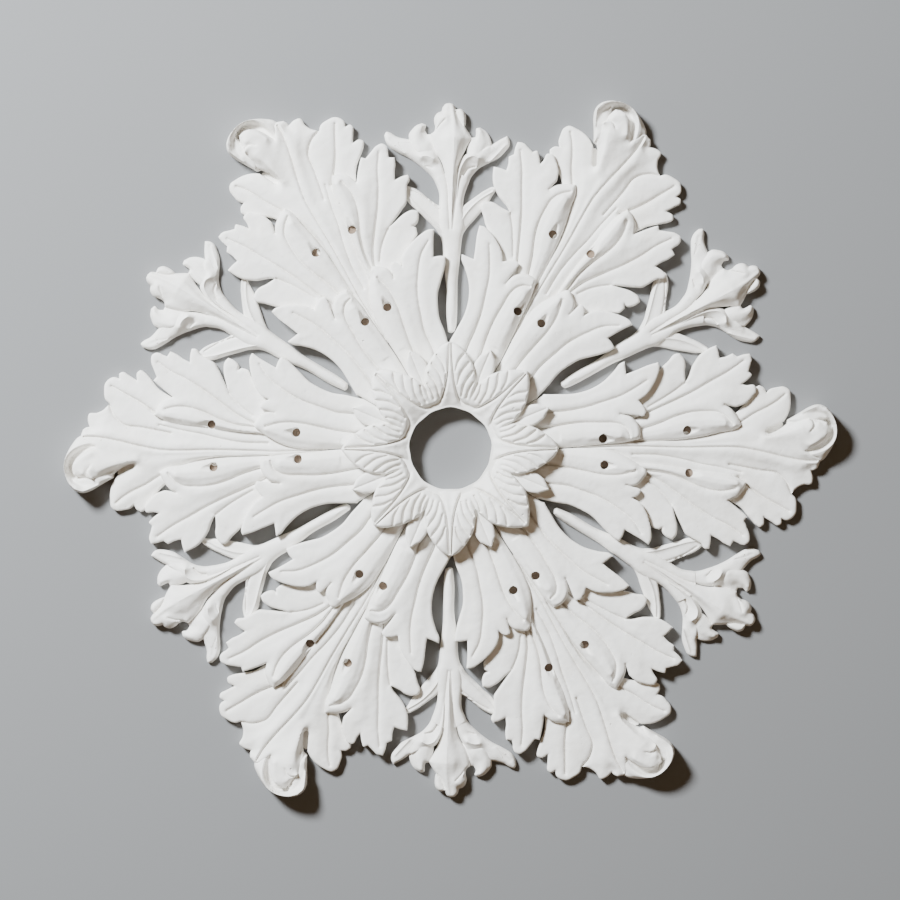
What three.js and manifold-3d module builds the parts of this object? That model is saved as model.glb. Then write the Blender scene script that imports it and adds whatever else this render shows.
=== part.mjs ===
// A ceiling rose of thirteen plaster castings: a petalled centre ring, six
// acanthus leaves and six lily sprigs. It lies on its back: the flat backs are
// at z = 0 and the carving faces +Z, into the room once the rose is fixed up.
// Millimetres. The origin is the middle of the lamp hole, on the ceiling side.
import * as THREE from 'three';
import { mergeVertices } from 'three/addons/utils/BufferGeometryUtils.js';
import Module from 'manifold-3d';

const wasm = await Module();
wasm.setup();

// Plan sizes
const ROSE_RADIUS = 425; // middle of the rose to the curled end of a leaf
const LEAF_COUNT = 6;
const HOLE_RADIUS = 45.3;
const RING_RADIUS = 120; // middle of the rose to the tips of the ring's petals
const PETAL_COUNT = 8;
const SEAT_RADIUS = 84; // the ring's foot; the petals reach out past it
const THROAT_RADIUS = 54.3;
const SHOULDER_RADIUS = 72;
const CREST_RADIUS = 88;
const JOINT_GAP = 0.5; // between neighbouring castings

// Heights above the ceiling
const PETAL_UNDERSIDE = 20;
const PETAL_TIP = 33;
const RING_CREST = 38;
const RING_SHOULDER = 36;
const HOLE_EDGE = 18;
const THROAT_TOP = 26; // where the slope out of the hole grows gentler
const ROOT_TOP = 17; // the leaf under the ring's petals
const UPPER_EDGE = 17; // margins of the three tiers of a leaf
const MIDDLE_EDGE = 12;
const LOWER_EDGE = 9;
const TONGUE_EDGE = 18; // sides and crest of the pipes down a leaf
const TONGUE_RISE = 7;
const FLUTE_RISE = 3; // how far a lobe swells between two grooves
const VEIN_DEPTH = 4; // how deep a groove starts at its root
const CURL_TOP = 31;
const BALL_TOP = 28;
const PALM_TOP = 18;
const MIDDLE_TONGUE = 14;
const PETAL_EDGE = 12;
const EYE_DEPTH = 14;
const EYE_RADIUS = 4;
const STEM_RISE = 7;
const SPRIG_EDGE = 5;
const BUD_RISE = 15;

// The leaf and the sprig are drawn on sheets 425 units from middle to curl.
const SHEET_RADIUS = 425;
const LEAF_SHEET_CENTRE = [4.3, 4.1];
const SPRIG_SHEET_CENTRE = [3.7, -3.7];
const SHEET_SCALE = ROSE_RADIUS / SHEET_RADIUS;

// How far each sprig was slid outwards when the castings were laid out
const SPRIG_SLIDES = [13, 0, 4, 0, 3, 5];

// The pits drilled at the heads of the tongues, with the heights they start at
const leafEyes = [[[172.5, 16], 24], [[265, 24], 20], [[174, -14], 24], [[267.5, -22.5], 19]];
const EYE_SIDES = 6;
const ROUND_SIDES = 48;

const plaster = () => new THREE.MeshStandardMaterial({ color: 0xe6e4de, roughness: 0.85, metalness: 0 });

// A closed solid over a polygon whose corners each have a height: a carved top
// over upright walls and a flat back at z = 0.
function plate(corners) {
  const outline = corners.map(([x, y]) => new THREE.Vector2(x, y));
  if (THREE.ShapeUtils.isClockWise(outline)) {
    outline.reverse();
    corners = [...corners].reverse();
  }
  const count = corners.length;
  const top = THREE.ShapeUtils.triangulateShape(outline, []);
  const points = [...corners.flat(), ...corners.flatMap(([x, y]) => [x, y, 0])];
  const faces = [];
  for (const [a, b, c] of top) {
    faces.push(a, b, c, count + c, count + b, count + a);
  }
  for (let i = 0; i < count; i += 1) {
    const next = (i + 1) % count;
    faces.push(i, count + i, count + next, i, count + next, next);
  }
  const mesh = new wasm.Mesh({ numProp: 3, vertProperties: new Float32Array(points), triVerts: new Uint32Array(faces) });
  return new wasm.Manifold(mesh);
}

function solidOf(geometry) {
  const bare = geometry.index ? geometry.toNonIndexed() : geometry.clone();
  bare.deleteAttribute('normal');
  bare.deleteAttribute('uv');
  const merged = mergeVertices(bare, 1e-4);
  return new wasm.Manifold(new wasm.Mesh({
    numProp: 3,
    vertProperties: new Float32Array(merged.attributes.position.array),
    triVerts: new Uint32Array(merged.index.array),
  }));
}

function geometryOf(solid) {
  const mesh = solid.getMesh();
  const geometry = new THREE.BufferGeometry();
  geometry.setAttribute('position', new THREE.BufferAttribute(new Float32Array(mesh.vertProperties), 3));
  geometry.setIndex(new THREE.BufferAttribute(new Uint32Array(mesh.triVerts), 1));
  const flat = geometry.toNonIndexed();
  flat.computeVertexNormals();
  return flat;
}

// Flat faces that were drawn as several are one face once the solids are joined.
const joined = (solids) => solids.reduce((sum, next) => sum.add(next)).asOriginal();

function turned(solid, degrees) {
  return solid.rotate([0, 0, degrees]);
}

// The share of its length at which each point of a line stands, 0 to 1.
function shares(line) {
  const run = [0];
  for (let i = 1; i < line.length; i += 1) {
    run.push(run[i - 1] + Math.hypot(line[i][0] - line[i - 1][0], line[i][1] - line[i - 1][1]));
  }
  return run.map((length) => length / (run[run.length - 1] || 1));
}

// The point at a share of a line.
function pointAt(line, share) {
  const run = shares(line);
  let i = 1;
  while (i < line.length - 1 && run[i] < share) {
    i += 1;
  }
  const part = (share - run[i - 1]) / (run[i] - run[i - 1]);
  return line[i].map((value, axis) => line[i - 1][axis] + part * (value - line[i - 1][axis]));
}

// A drawn line lifted to heights that run evenly from its root to its tip.
function lifted(line, rootHeight, tipHeight) {
  const run = shares(line);
  return line.map(([x, y], i) => [x, y, rootHeight + run[i] * (tipHeight - rootHeight)]);
}

// A band of carving between two lifted lines that run from root to tip. Its
// crest runs midway and stands above both, and with no rise it has no crest.
// An end line closes a blunt tip.
function band(left, right, rise, end = [], steps = 2) {
  const back = [...right].reverse();
  if (end.length === 0) {
    back.shift();
  }
  if (rise === 0) {
    return [plate([...left, ...end, ...back])];
  }
  const crest = [];
  for (let i = 0; i < steps; i += 1) {
    const a = pointAt(left, i / steps);
    const b = pointAt(right, i / steps);
    crest.push([(a[0] + b[0]) / 2, (a[1] + b[1]) / 2, (a[2] + b[2]) / 2 + rise]);
  }
  crest[0][2] -= rise;
  const middle = Math.floor(end.length / 2);
  const tip = end.length === 0 ? left[left.length - 1] : end[middle];
  const leftEnd = end.slice(0, middle);
  const rightEnd = end.slice(middle + 1);
  const leftSide = end.length === 0 ? left.slice(0, -1) : left;
  return [
    plate([...leftSide, ...leftEnd, tip, ...[...crest].reverse()]),
    plate([...crest, tip, ...rightEnd, ...back]),
  ];
}

function onSheet(centre) {
  return (line) => line.map(([x, y]) => [(x - centre[0]) * SHEET_SCALE, (y - centre[1]) * SHEET_SCALE]);
}

// One acanthus leaf, drawn from its root at the left to its curl at the right.
const leafSheet = onSheet(LEAF_SHEET_CENTRE);
const leafLines = {
  upperMarginLeft: [[80, 54], [104, 65], [142, 65], [172, 77.5], [195.7, 100], [197.5, 86], [232.5, 99]],
  upperVeinLeft: [[80, 40], [150, 49], [192, 62.5], [232.5, 99]],
  upperEndLeft: [[232.5, 86], [220, 64], [211, 57], [219, 45], [216, 39], [193, 42.5], [210, 32.5]],
  tongueTopLeft: [[80, 22], [150, 33], [185, 32.5], [212.5, 15]],
  tongueLowLeft: [[80, 3], [147, 6], [172, 8.5], [212.5, 15]],
  tongueTopRight: [[80, 3], [147, 6], [190, -1], [215, -16]],
  tongueLowRight: [[80, -8], [170, -24], [190, -24.5], [215, -16]],
  upperEndRight: [[218, -27], [197.5, -35.5], [212, -43], [204, -50], [212.5, -55], [224.5, -85]],
  upperVeinRight: [[80, -28], [130, -36], [190, -62.5], [222, -101]],
  upperMarginRight: [[80, -50], [103, -54], [135, -57.5], [170, -80], [190, -97], [196, -85], [222, -101]],

  smallMarginLeft: [[212, 60], [238.7, 95], [256.7, 109]],
  smallInnerLeft: [[228, 44], [263, 77.5], [256.7, 109]],
  middleMarginLeft: [[232, 50], [263, 77.5], [281, 109], [297, 118], [300.5, 104], [315, 109], [320, 105.5],
    [333.7, 108.7]],
  middleVeinLeft: [[205, 36], [255, 59], [292, 79], [333.7, 108.7]],
  middleEndLeft: [[332.5, 89], [325, 75], [340, 72], [334, 58], [308, 52], [319, 42]],
  middleTongueTopLeft: [[172, 22], [235, 32.5], [267, 44], [300, 43], [325, 30]],
  middleTongueLowLeft: [[172, 8.5], [260, 14.5], [300, 22.5], [325, 30]],
  middleTongueTopRight: [[200, -10], [307, -22.5], [330, -33]],
  middleTongueLowRight: [[200, -18], [290, -41], [310, -42], [330, -33]],
  middleEndRight: [[325, -46], [311, -54], [327.5, -75], [331, -84]],
  middleVeinRight: [[200, -22], [255, -47], [295, -72.5], [332.5, -100]],
  middleMarginRight: [[200, -26], [249, -59], [260, -82.5], [289, -106], [291, -91], [312.5, -103], [316, -97.5],
    [332.5, -100]],
  smallInnerRight: [[200, -26], [249, -59], [254, -82.5], [249, -96]],
  smallMarginRight: [[200, -42], [224, -76], [234, -85], [238, -82.5], [249, -96]],

  lowerMarginLeft: [[290, 44], [345, 74], [353, 66], [378, 69]],
  lowerVeinLeft: [[240, 18], [325, 34], [355, 51], [378, 69]],
  lowerEndLeft: [[379, 50]],
  slit: [[172, 8.5], [260, 14.5], [320, 15.5], [354, 22.5], [371, 34]],
  palmMarginLeft: [[172, 8.5], [260, 14.5], [320, 15.5], [354, 22.5], [371, 34], [393, 45]],
  ballEnd: [[398, 31], [410, 31], [416, 20], [396, 1]],
  midrib: [[147, 6], [322, 5.5], [397, -9]],
  pipeEnd: [[416, -8], [409, -17]],
  pipeLow: [[188, -4], [260, -7.5], [300, -16], [345, -20], [402, -19.5]],
  palmEnd: [[404, -31], [390, -37.5]],
  palmLow: [[196, -12], [307, -24], [345, -32], [380, -45.5]],
  lowerEndRight: [[386, -60]],
  lowerVeinRight: [[300, -28], [347, -47.5], [381, -72.5]],
  lowerMarginRight: [[290, -40], [325, -63], [345, -81], [350, -71], [369, -79.5], [370, -73], [381, -72.5]],
  rimOuter: [[388, -10], [416, -8], [430, 20], [424, 44], [409, 53], [389, 43]],
  rimInner: [[390, 0], [408, 1], [423, 20], [416, 40], [389, 43]],
};

// Each tier of the leaf is a fan of bands between these lines, from the left
// margin round to the right one. A vein starts as a groove and fades at its tip.
function leafBands() {
  const at = (name, root, tip) => lifted(leafSheet(leafLines[name]), root, tip);
  const groove = (name, root, tip) => at(name, root - VEIN_DEPTH, tip);
  const upper = [
    band(at('upperMarginLeft', ROOT_TOP, UPPER_EDGE), groove('upperVeinLeft', ROOT_TOP, UPPER_EDGE), 0),
    band(groove('upperVeinLeft', ROOT_TOP, UPPER_EDGE), at('tongueTopLeft', ROOT_TOP, TONGUE_EDGE), FLUTE_RISE,
      at('upperEndLeft', UPPER_EDGE, TONGUE_EDGE)),
    band(at('tongueTopLeft', ROOT_TOP, TONGUE_EDGE), at('tongueLowLeft', ROOT_TOP, TONGUE_EDGE), TONGUE_RISE, [], 3),
    band(at('tongueTopRight', ROOT_TOP, TONGUE_EDGE), at('tongueLowRight', ROOT_TOP, TONGUE_EDGE), TONGUE_RISE, [], 3),
    band(at('tongueLowRight', ROOT_TOP, TONGUE_EDGE), groove('upperVeinRight', ROOT_TOP, UPPER_EDGE), FLUTE_RISE,
      at('upperEndRight', TONGUE_EDGE, UPPER_EDGE)),
    band(groove('upperVeinRight', ROOT_TOP, UPPER_EDGE), at('upperMarginRight', ROOT_TOP, UPPER_EDGE), 0),
  ];
  const middle = [
    band(at('smallMarginLeft', LOWER_EDGE, MIDDLE_EDGE), at('smallInnerLeft', LOWER_EDGE, MIDDLE_EDGE), 0),
    band(at('middleMarginLeft', MIDDLE_EDGE, MIDDLE_EDGE), groove('middleVeinLeft', MIDDLE_EDGE, MIDDLE_EDGE), 0),
    band(groove('middleVeinLeft', MIDDLE_EDGE, MIDDLE_EDGE), at('middleTongueTopLeft', MIDDLE_EDGE, MIDDLE_TONGUE),
      FLUTE_RISE, at('middleEndLeft', MIDDLE_EDGE, MIDDLE_TONGUE)),
    band(at('middleTongueTopLeft', MIDDLE_EDGE, MIDDLE_TONGUE), at('middleTongueLowLeft', MIDDLE_EDGE, MIDDLE_TONGUE),
      TONGUE_RISE, [], 3),
    band(at('middleTongueTopRight', MIDDLE_EDGE, MIDDLE_TONGUE), at('middleTongueLowRight', MIDDLE_EDGE, MIDDLE_TONGUE),
      TONGUE_RISE, [], 3),
    band(at('middleTongueLowRight', MIDDLE_EDGE, MIDDLE_TONGUE), groove('middleVeinRight', MIDDLE_EDGE, MIDDLE_EDGE),
      FLUTE_RISE, at('middleEndRight', MIDDLE_TONGUE, MIDDLE_EDGE)),
    band(groove('middleVeinRight', MIDDLE_EDGE, MIDDLE_EDGE), at('middleMarginRight', MIDDLE_EDGE, MIDDLE_EDGE), 0),
    band(at('smallInnerRight', LOWER_EDGE, MIDDLE_EDGE), at('smallMarginRight', LOWER_EDGE, MIDDLE_EDGE), 0),
  ];
  const lower = [
    band(at('lowerMarginLeft', LOWER_EDGE, LOWER_EDGE), groove('lowerVeinLeft', LOWER_EDGE, LOWER_EDGE), 0),
    band(groove('lowerVeinLeft', LOWER_EDGE, LOWER_EDGE), at('slit', LOWER_EDGE, LOWER_EDGE), 0,
      at('lowerEndLeft', LOWER_EDGE, LOWER_EDGE)),
    band(at('palmMarginLeft', LOWER_EDGE, PALM_TOP), at('midrib', LOWER_EDGE, PALM_TOP), FLUTE_RISE,
      at('ballEnd', BALL_TOP, BALL_TOP)),
    band(at('midrib', LOWER_EDGE, PALM_TOP), at('pipeLow', LOWER_EDGE, LOWER_EDGE), 0,
      at('pipeEnd', PALM_TOP, LOWER_EDGE)),
    band(at('pipeLow', LOWER_EDGE, LOWER_EDGE), at('palmLow', LOWER_EDGE, LOWER_EDGE), 0,
      at('palmEnd', LOWER_EDGE, LOWER_EDGE)),
    band(at('palmLow', LOWER_EDGE, LOWER_EDGE), groove('lowerVeinRight', LOWER_EDGE, LOWER_EDGE), 0,
      at('lowerEndRight', LOWER_EDGE, LOWER_EDGE)),
    band(groove('lowerVeinRight', LOWER_EDGE, LOWER_EDGE), at('lowerMarginRight', LOWER_EDGE, LOWER_EDGE), 0),
    band(at('rimOuter', PALM_TOP, CURL_TOP), at('rimInner', PALM_TOP, CURL_TOP), 0),
    [plate(at('rimOuter', LOWER_EDGE, LOWER_EDGE))],
  ];
  return [...upper, ...middle, ...lower].flat();
}

// A round bar standing on its end, with one radius below and one above.
function spike(x, y, base, height, baseRadius, topRadius, sides) {
  const geometry = new THREE.CylinderGeometry(topRadius, baseRadius, height, sides);
  geometry.rotateX(Math.PI / 2);
  geometry.translate(x, y, base + height / 2);
  return solidOf(geometry);
}

function makeLeaf() {
  let leaf = joined(leafBands());
  for (const [[x, y], top] of leafEyes) {
    const [[eyeX, eyeY]] = leafSheet([[x, y]]);
    leaf = leaf.subtract(spike(eyeX, eyeY, top - EYE_DEPTH, 2 * EYE_DEPTH, EYE_RADIUS / 2, 1.5 * EYE_RADIUS,
      EYE_SIDES));
  }
  const spread = Math.PI / LEAF_COUNT;
  const reach = 2 * ROSE_RADIUS;
  const apex = JOINT_GAP / 2 / Math.sin(spread);
  const side = reach * Math.tan(spread);
  const wedge = plate([[apex, 0, reach], [apex + reach, -side, reach], [apex + reach, side, reach]]);
  const foot = spike(0, 0, -reach, 2 * reach, SEAT_RADIUS + JOINT_GAP, SEAT_RADIUS + JOINT_GAP, ROUND_SIDES);
  const lap = spike(0, 0, PETAL_UNDERSIDE - JOINT_GAP, reach, RING_RADIUS + JOINT_GAP, RING_RADIUS + JOINT_GAP,
    ROUND_SIDES);
  return leaf.intersect(wedge).subtract(foot).subtract(lap);
}

// One lily sprig, drawn from its cut stem at the left to its bud at the right.
const sprigSheet = onSheet(SPRIG_SHEET_CENTRE);
const sprigLines = {
  stemLeft: [[131, -2], [183, 0.7], [240, 8], [286, 8.8], [300, 12]],
  stemRight: [[133, -9], [193.6, -12], [240, -17], [283, -19], [300, -24]],
  stemEnd: [[302, -6]],
  leafOuterLeft: [[228, 4], [247, 13], [267, 33], [292, 48.6]],
  leafGrooveLeft: [[228, 0], [256, 13], [292, 48.6]],
  leafInnerLeft: [[240, 4], [272, 8.8], [289, 32], [292, 48.6]],
  leafOuterRight: [[228, -13], [247, -21.6], [266.8, -38.6], [291, -55.5]],
  leafGrooveRight: [[228, -9], [256, -21], [291, -55.5]],
  leafInnerRight: [[240, -12], [272, -17.7], [289, -42], [291, -55.5]],
  petalOuterLeft: [[286, 8.8], [304, 16.8], [340, 66], [351.6, 69]],
  petalInnerLeft: [[300, 0], [330, 20], [351.6, 69]],
  secondOuterLeft: [[308, 14], [345.5, 42], [360.5, 33.8], [363, 27.5]],
  secondInnerLeft: [[308, 2], [350.7, 16.8], [363, 27.5]],
  secondInnerRight: [[308, -11], [346.8, -27], [357.9, -36.8]],
  secondOuterRight: [[308, -22], [341, -50], [350, -46], [357.9, -36.8]],
  petalInnerRight: [[300, -9], [325, -30], [349.5, -66]],
  petalOuterRight: [[283, -19], [304, -27], [339, -69], [349.5, -66]],
  budLeft: [[270, -3], [345, 14], [370, 13.6], [384.6, -4]],
  budRight: [[270, -6], [349, -25], [370, -20.7], [384.6, -4]],
};

function makeSprig() {
  const at = (name, root, tip) => lifted(sprigSheet(sprigLines[name]), root, tip);
  const low = SPRIG_EDGE;
  const bands = [
    band(at('stemLeft', low, low), at('stemRight', low, low), STEM_RISE, at('stemEnd', low, low), 3),
    band(at('leafOuterLeft', low, low), at('leafGrooveLeft', 1, low), 0),
    band(at('leafGrooveLeft', 1, low), at('leafInnerLeft', low, low), 0),
    band(at('leafInnerRight', low, low), at('leafGrooveRight', 1, low), 0),
    band(at('leafGrooveRight', 1, low), at('leafOuterRight', low, low), 0),
    band(at('petalOuterLeft', low, PETAL_EDGE), at('petalInnerLeft', low, PETAL_EDGE), STEM_RISE),
    band(at('secondOuterLeft', PETAL_EDGE, low), at('secondInnerLeft', PETAL_EDGE, low), 0),
    band(at('secondInnerRight', PETAL_EDGE, low), at('secondOuterRight', PETAL_EDGE, low), 0),
    band(at('petalInnerRight', low, PETAL_EDGE), at('petalOuterRight', low, PETAL_EDGE), STEM_RISE),
    band(at('budLeft', low, PETAL_EDGE), at('budRight', low, PETAL_EDGE), BUD_RISE),
  ];
  return joined(bands.flat());
}

// The height of the ring's face at a distance from the middle: a dish that
// falls to the lamp hole from a rounded crest.
function dish(radius) {
  const profile = [[HOLE_RADIUS, HOLE_EDGE], [THROAT_RADIUS, THROAT_TOP], [SHOULDER_RADIUS, RING_SHOULDER],
    [CREST_RADIUS, RING_CREST], [RING_RADIUS, PETAL_TIP]];
  const next = Math.max(1, profile.findIndex(([at], i) => i === profile.length - 1 || at >= radius));
  const [r0, z0] = profile[next - 1];
  const [r1, z1] = profile[next];
  return z0 + (z1 - z0) * Math.max(0, Math.min(1, (radius - r0) / (r1 - r0)));
}

// Half a petal pair, as it is met going round from the middle of a large petal
// to the middle of a small one: the share of the half pitch, how far the margin
// stands in from the petal tips, and how deep the surface is cut there.
const petalSteps = [[0, 0, -3], [0.16, 8, 3], [0.42, 14.5, 0], [0.7, 29, 3], [0.74, 28, 9], [1, 0, 10]];

// The ring is one grid round the middle: eight lines go round it, from the foot
// up the wall of the hole, out over the dish to the petal margins and back.
function makeRing() {
  const halves = [...petalSteps, ...petalSteps.slice(1, -1).reverse().map(([share, ...rest]) => [2 - share, ...rest])];
  const columns = [];
  for (let petal = 0; petal < PETAL_COUNT; petal += 1) {
    for (const [share, inset, cut] of halves) {
      columns.push({ angle: (petal + share / 2) * 2 * Math.PI / PETAL_COUNT, inset, cut });
    }
  }
  const rows = columns.map(({ angle, inset, cut }) => {
    const margin = RING_RADIUS - inset;
    const at = (radius, height) => [radius * Math.cos(angle), radius * Math.sin(angle), height];
    const carved = (radius, share) => at(radius, dish(radius) - cut * share);
    return [at(HOLE_RADIUS, 0), carved(HOLE_RADIUS, 0), carved(THROAT_RADIUS, 0.6), carved(SHOULDER_RADIUS, 1),
      carved(margin, 0.7), at(margin, PETAL_UNDERSIDE), at(SEAT_RADIUS, PETAL_UNDERSIDE), at(SEAT_RADIUS, 0)];
  });
  const points = rows.flat(2);
  const lines = rows[0].length;
  const faces = [];
  for (let i = 0; i < rows.length; i += 1) {
    for (let j = 0; j < lines; j += 1) {
      const a = i * lines + j;
      const b = i * lines + (j + 1) % lines;
      const c = ((i + 1) % rows.length) * lines + (j + 1) % lines;
      const d = ((i + 1) % rows.length) * lines + j;
      faces.push(a, c, d, a, b, c);
    }
  }
  return new wasm.Manifold(new wasm.Mesh({
    numProp: 3, vertProperties: new Float32Array(points), triVerts: new Uint32Array(faces),
  }));
}

const rose = new THREE.Group();

function add(name, solid) {
  const mesh = new THREE.Mesh(geometryOf(solid), plaster());
  mesh.name = name;
  rose.add(mesh);
}

const leaf = makeLeaf();
const sprig = makeSprig();
const leafStep = 360 / LEAF_COUNT;

for (let i = 0; i < LEAF_COUNT; i += 1) {
  add(`acanthus_leaf_${i + 1}`, turned(leaf, i * leafStep));
}
// A sprig stops where it meets the leaves on both sides of it: their shapes,
// moved a joint's width towards it, are cut away with any tip beyond them.
function fitted(placed) {
  for (const side of [-1, 1]) {
    const neighbour = turned(leaf, side * leafStep / 2);
    placed = placed.subtract(neighbour).subtract(neighbour.translate([0, -side * JOINT_GAP, 0]));
  }
  const bodies = placed.decompose();
  return bodies.reduce((largest, body) => (body.volume() > largest.volume() ? body : largest));
}

for (let i = 0; i < LEAF_COUNT; i += 1) {
  add(`lily_sprig_${i + 1}`, turned(fitted(sprig.translate([SPRIG_SLIDES[i], 0, 0])), (i + 0.5) * leafStep));
}
add('centre_ring', makeRing());

export default rose;
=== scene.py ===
# %% [markdown]
# # A plaster ceiling rose in thirteen castings
# A cast ceiling rose is thin plaster relief: a petalled ring round the lamp hole, six
# acanthus leaves and six lily sprigs, each cast flat-backed in its own mould. The packed
# solids give the size and place of every casting. This script gives them their carving,
# then plaster, light and a camera that looks straight down, as the photograph does.

# %% Load the frame
import math
import time
import bpy
import numpy as np
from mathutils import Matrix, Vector
from mathutils.geometry import delaunay_2d_cdt


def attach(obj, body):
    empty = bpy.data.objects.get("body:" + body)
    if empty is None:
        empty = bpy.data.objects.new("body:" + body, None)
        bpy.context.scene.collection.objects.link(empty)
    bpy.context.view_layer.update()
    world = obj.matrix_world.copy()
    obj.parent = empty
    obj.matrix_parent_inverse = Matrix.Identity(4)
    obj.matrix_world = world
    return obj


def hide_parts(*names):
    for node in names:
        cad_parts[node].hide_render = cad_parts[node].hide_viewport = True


began = time.time()
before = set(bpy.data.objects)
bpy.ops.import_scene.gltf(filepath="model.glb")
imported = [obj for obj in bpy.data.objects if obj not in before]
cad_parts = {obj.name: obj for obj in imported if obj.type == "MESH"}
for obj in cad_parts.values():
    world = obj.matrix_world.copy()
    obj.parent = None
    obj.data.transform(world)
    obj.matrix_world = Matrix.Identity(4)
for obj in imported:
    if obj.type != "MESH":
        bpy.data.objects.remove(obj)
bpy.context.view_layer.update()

# %% [markdown]
# ## The camera
# The photograph looks straight down at the rose as it lies on its back. One pixel of it is
# 1.1 mm of plaster, so its 900 pixels take in 0.99 m. The ring lies about four millimetres
# off the common centre of the leaves there. Here everything is laid round one centre, and the
# camera stands between the two places. A long lens from three metres keeps the castings
# nearly free of perspective.

# %% Camera
MM = 0.001
PIXELS = 900
PIXEL = 1.1 * MM
PICTURE_WIDTH = PIXELS * PIXEL
SENSOR_WIDTH = 36
CAMERA_HEIGHT = 3.0
CARVING_HEIGHT = 15 * MM
PICTURE_MIDDLE = (-0.4 * MM, -1.4 * MM)


def placed(name, data):
    """A new object of the scene that shows some data."""
    thing = bpy.data.objects.new(name, data)
    bpy.context.scene.collection.objects.link(thing)
    return thing


lens = bpy.data.cameras.new("camera")
lens.sensor_width = SENSOR_WIDTH
lens.lens = SENSOR_WIDTH * (CAMERA_HEIGHT - CARVING_HEIGHT) / PICTURE_WIDTH
camera = placed("camera", lens)
camera.location = (*PICTURE_MIDDLE, CAMERA_HEIGHT)
bpy.context.scene.camera = camera
print("lens", round(lens.lens, 1), "mm")

# %% [markdown]
# ## The light and the floor
# The light in the photograph comes from the upper left, a little under 45 degrees up. It is
# cool, and its shadows are warm, well filled and soft at the edge. One large soft lamp does
# that, with a warm sky for the fill. The floor is plain and pale.

# %% Light and floor
KEY_FROM = Vector((-0.75, 0.75, 1.0))
KEY_DISTANCE = 3.2
KEY_SIZE = 0.7
KEY_POWER = 420
KEY_COLOUR = (0.905, 0.962, 1.0)
FILL_COLOUR = (1.0, 0.70, 0.41, 1)
FILL_STRENGTH = 0.2
FLOOR_HALF = 8.0
FLOOR_DROP = 0.4 * MM
FLOOR_COLOUR = (0.18, 0.181, 0.184, 1)
FLOOR_ROUGHNESS = 0.9

key_light = bpy.data.lights.new("key", "AREA")
key_light.shape = "DISK"
key_light.size = KEY_SIZE
key_light.energy = KEY_POWER
key_light.color = KEY_COLOUR
key = placed("key", key_light)
key.location = KEY_FROM.normalized() * KEY_DISTANCE
key.rotation_euler = KEY_FROM.to_track_quat("Z", "Y").to_euler()

sky = bpy.data.worlds.new("sky")
sky.use_nodes = True
fill = sky.node_tree.nodes["Background"]
fill.inputs["Color"].default_value = FILL_COLOUR
fill.inputs["Strength"].default_value = FILL_STRENGTH
bpy.context.scene.world = sky

floor_mesh = bpy.data.meshes.new("floor")
corners = [(-FLOOR_HALF, -FLOOR_HALF, 0), (FLOOR_HALF, -FLOOR_HALF, 0),
           (FLOOR_HALF, FLOOR_HALF, 0), (-FLOOR_HALF, FLOOR_HALF, 0)]
floor_mesh.from_pydata(corners, [], [(0, 1, 2, 3)])
floor = placed("floor", floor_mesh)
floor.location.z = -FLOOR_DROP
paint = bpy.data.materials.new("floor_paint")
paint.use_nodes = True
floor_skin = paint.node_tree.nodes["Principled BSDF"]
floor_skin.inputs["Base Color"].default_value = FLOOR_COLOUR
floor_skin.inputs["Roughness"].default_value = FLOOR_ROUGHNESS
floor_mesh.materials.append(paint)
print("key light at", [round(number, 2) for number in key.location])

# %% [markdown]
# ## Lines
# A carver draws a leaf as a few flowing lines: its margins, its veins, the crest of each
# pipe. Here a line is a list of runs of points. Each run is bent through its points, and two
# runs meet at a sharp corner, as at the tip of a tooth or the bottom of a notch.

# %% Flowing lines
LINE_STEP = 1.05


def run_through(points):
    """A smooth run through points: between two of them it is a cubic whose slopes there are
    those of the points on both sides, weighed by how near they are."""
    points = np.asarray(points, float)
    chord = np.concatenate([[0], np.cumsum(np.linalg.norm(np.diff(points, axis=0), axis=1))])
    slope = np.gradient(points, chord, axis=0)
    at = np.linspace(0, chord[-1], max(2, int(round(chord[-1] / LINE_STEP)) + 1))
    i = np.clip(np.searchsorted(chord, at, side="right") - 1, 0, len(points) - 2)
    span = (chord[i + 1] - chord[i])[:, None]
    s = (at - chord[i])[:, None] / span
    leaving = (1 + 2 * s) * (1 - s) ** 2 * points[i] + s * (1 - s) ** 2 * span * slope[i]
    arriving = s ** 2 * (3 - 2 * s) * points[i + 1] + s ** 2 * (s - 1) * span * slope[i + 1]
    return leaving + arriving


def flowing(*runs):
    """One line made of smooth runs. Each run starts where the one before it ends."""
    parts = []
    start = []
    for run in runs:
        bent = run_through([*start, *run])
        parts.append(bent[1:] if parts else bent)
        start = [run[-1]]
    return np.concatenate(parts)


def nearness(places, line):
    """For every place, how far the nearest point of the line is, and at what share of the
    line's length it lies: each place is projected on each piece of the line, held between
    that piece's ends, and the shortest distance is kept."""
    start = line[:-1]
    along = line[1:] - start
    length = np.linalg.norm(along, axis=1)
    offset = places[:, None, :] - start[None]
    share = np.clip((offset * along).sum(2) / length ** 2, 0, 1)
    gap = np.linalg.norm(offset - share[..., None] * along, axis=2)
    nearest = gap.argmin(1)
    rows = np.arange(len(places))
    run = np.concatenate([[0], np.cumsum(length)]) / length.sum()
    step = run[nearest + 1] - run[nearest]
    return gap[rows, nearest], run[nearest] + share[rows, nearest] * step


def clearance(places, points):
    """Roughly how far every place is from a cloud of points, which is enough to choose a
    net: the shortest of all distances, from |p|^2 + |q|^2 - 2 p.q."""
    square = (places ** 2).sum(1)[:, None] + (points ** 2).sum(1)[None] - 2 * places @ points.T
    return np.sqrt(np.maximum(square.min(1), 0))


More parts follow.
